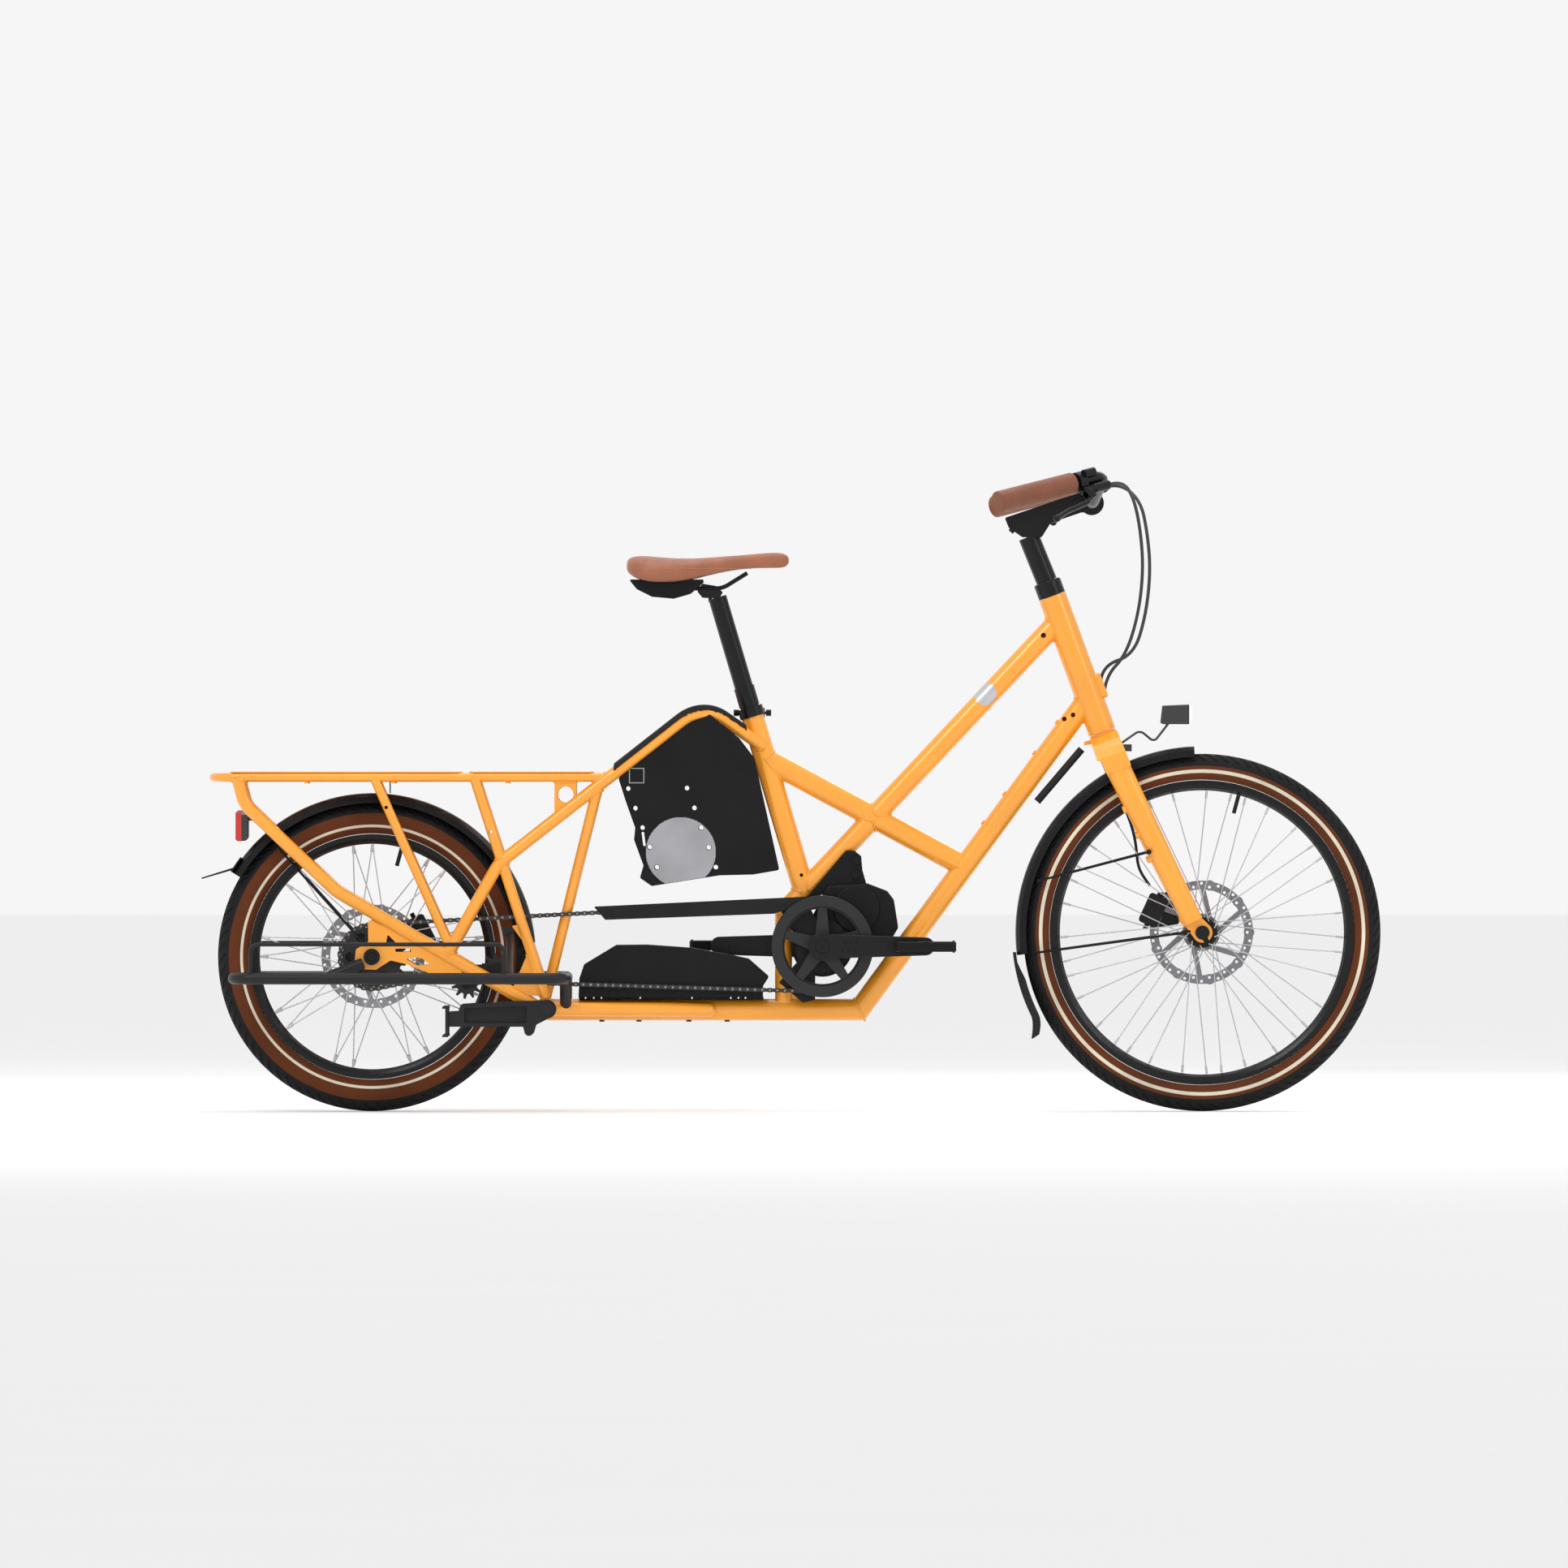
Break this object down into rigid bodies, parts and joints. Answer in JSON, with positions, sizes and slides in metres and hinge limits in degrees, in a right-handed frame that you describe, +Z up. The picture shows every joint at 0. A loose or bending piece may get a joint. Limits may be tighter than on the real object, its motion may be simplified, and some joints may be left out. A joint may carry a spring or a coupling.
{
  "type": "cargo bicycle",
  "caption": "Long-tail electric cargo bicycle with a rear carrier hoop, low tube frame, mid motor, long foot rests, twin-leg stand and disc brakes.",
  "frame": {"origin": "on the ground, under the middle of the bounding box", "axes": "+X forward along the bicycle, +Y to the rider's left, +Z up"},
  "size_m": [2.0042, 0.641, 1.0925],
  "materials": {
    "yellow_paint": "gloss",
    "black_plastic": "matte",
    "dark_plastic": "matte",
    "black_metal": "satin",
    "charcoal_metal": "satin",
    "tyre_rubber": "matte",
    "black_rubber": "matte",
    "steel": "satin",
    "dark_steel": "satin",
    "aluminium": "satin",
    "brown_leather": "satin",
    "grip_leather": "satin",
    "chain_steel": "satin",
    "light_body": "gloss",
    "red_lens": "gloss",
    "cells": "satin"
  },
  "bodies": {
    "frame": {"head_tube": "yellow_paint", "headset_bearings": "steel", "top_tube": "yellow_paint", "down_tube": "yellow_paint", "seat_tube": "yellow_paint", "cross_tube": "yellow_paint", "bottom_tube": "yellow_paint", "side_loops": "yellow_paint", "rear_stays": "yellow_paint", "carrier_frame": "yellow_paint", "carrier_deck": "yellow_paint", "motor_housing": "black_plastic", "motor_core": "aluminium", "battery_shell": "black_plastic", "battery_cells": "cells", "side_panels": "black_plastic", "loop_pads": "dark_plastic", "chain": "chain_steel", "tensioner_arm": "dark_plastic", "chain_guard": "dark_plastic", "rear_mudguard": "black_plastic", "rear_light": "red_lens", "rear_caliper": "black_metal", "rear_axle": "black_metal", "foot_rests": "charcoal_metal", "seat_clamp": "black_metal", "damper_spring": "dark_steel", "brake_hoses": "black_rubber"},
    "steer": {"fork": "yellow_paint", "front_axle": "black_metal", "stem": "black_metal", "handlebar": "black_metal", "grips": "grip_leather", "lever_perches": "black_metal", "front_mudguard": "black_plastic", "headlight": "light_body", "front_caliper": "black_metal"},
    "front_wheel": {"front_tyre": "tyre_rubber", "front_rim": "black_metal", "front_spokes": "black_metal", "front_hub": "black_metal", "front_rotor": "steel"},
    "rear_wheel": {"rear_tyre": "tyre_rubber", "rear_rim": "black_metal", "rear_spokes": "black_metal", "rear_hub": "black_metal", "rear_rotor": "steel"},
    "crank": {"crank_arms": "black_metal", "chainring": "dark_steel"},
    "pedal_right": {"pedal_right": "black_plastic"},
    "pedal_left": {"pedal_left": "black_plastic"},
    "sprocket": {"rear_sprocket": "dark_steel"},
    "pulley_front": {"front_pulley": "dark_steel"},
    "pulley_rear": {"rear_pulley": "dark_steel"},
    "lever_right": {"brake_lever_right": "black_metal"},
    "lever_left": {"brake_lever_left": "black_metal"},
    "stand": {"stand_legs": "charcoal_metal"},
    "seat": {"seatpost": "black_metal", "saddle_base": "black_plastic", "saddle_cover": "brown_leather"}
  },
  "joints": [
    {"name": "steering", "type": "hinge", "parent": "frame", "child": "steer", "pos_m": [0.5279, 0, 0.6445], "axis": [-0.3447, 0, 0.9387], "range_deg": [-60, 60], "deforming": ["damper_spring", "brake_hoses"]},
    {"name": "front_wheel_spin", "type": "hinge", "parent": "steer", "child": "front_wheel", "pos_m": [0.6973, 0, 0.304], "axis": [0, 1, 0], "continuous": true},
    {"name": "rear_wheel_spin", "type": "hinge", "parent": "frame", "child": "rear_wheel", "pos_m": [-0.713, 0, 0.263], "axis": [0, 1, 0], "continuous": true},
    {"name": "crank_spin", "type": "hinge", "parent": "frame", "child": "crank", "pos_m": [0.0519, 0, 0.2808], "axis": [0, 1, 0], "continuous": true},
    {"name": "pedal_right_spin", "type": "hinge", "parent": "crank", "child": "pedal_right", "pos_m": [0.2269, 0, 0.2808], "axis": [0, 1, 0], "continuous": true},
    {"name": "pedal_left_spin", "type": "hinge", "parent": "crank", "child": "pedal_left", "pos_m": [-0.1231, 0, 0.2808], "axis": [0, 1, 0], "continuous": true},
    {"name": "sprocket_spin", "type": "hinge", "parent": "frame", "child": "sprocket", "pos_m": [-0.713, 0, 0.263], "axis": [0, 1, 0], "continuous": true},
    {"name": "front_pulley_spin", "type": "hinge", "parent": "frame", "child": "pulley_front", "pos_m": [-0.501, 0, 0.243], "axis": [0, 1, 0], "continuous": true},
    {"name": "rear_pulley_spin", "type": "hinge", "parent": "frame", "child": "pulley_rear", "pos_m": [-0.552, 0, 0.218], "axis": [0, 1, 0], "continuous": true},
    {"name": "lever_right_pull", "type": "hinge", "parent": "steer", "child": "lever_right", "pos_m": [0.50728, -0.21792, 1.04434], "axis": [-0.334, 0.6995, -0.6317], "range_deg": [0, 18], "stiffness_Nm_per_rad": 1.5, "springref_deg": -11.46},
    {"name": "lever_left_pull", "type": "hinge", "parent": "steer", "child": "lever_left", "pos_m": [0.50728, 0.21792, 1.04434], "axis": [0.334, 0.6995, 0.6317], "range_deg": [0, 18], "stiffness_Nm_per_rad": 1.5, "springref_deg": -11.46},
    {"name": "stand_swing", "type": "hinge", "parent": "frame", "child": "stand", "pos_m": [-0.4155, 0, 0.1744], "axis": [0, -1, 0], "range_deg": [0, 95]},
    {"name": "seat_height", "type": "slide", "parent": "frame", "child": "seat", "axis": [-0.2833, 0, 0.959], "range_m": [-0.1, 0.08]}
  ],
  "couplings": [
    {"joint": "sprocket_spin", "follows": "crank_spin", "ratio": 1.4074},
    {"joint": "front_pulley_spin", "follows": "crank_spin", "ratio": 3.4545},
    {"joint": "rear_pulley_spin", "follows": "crank_spin", "ratio": -3.4545}
  ]
}
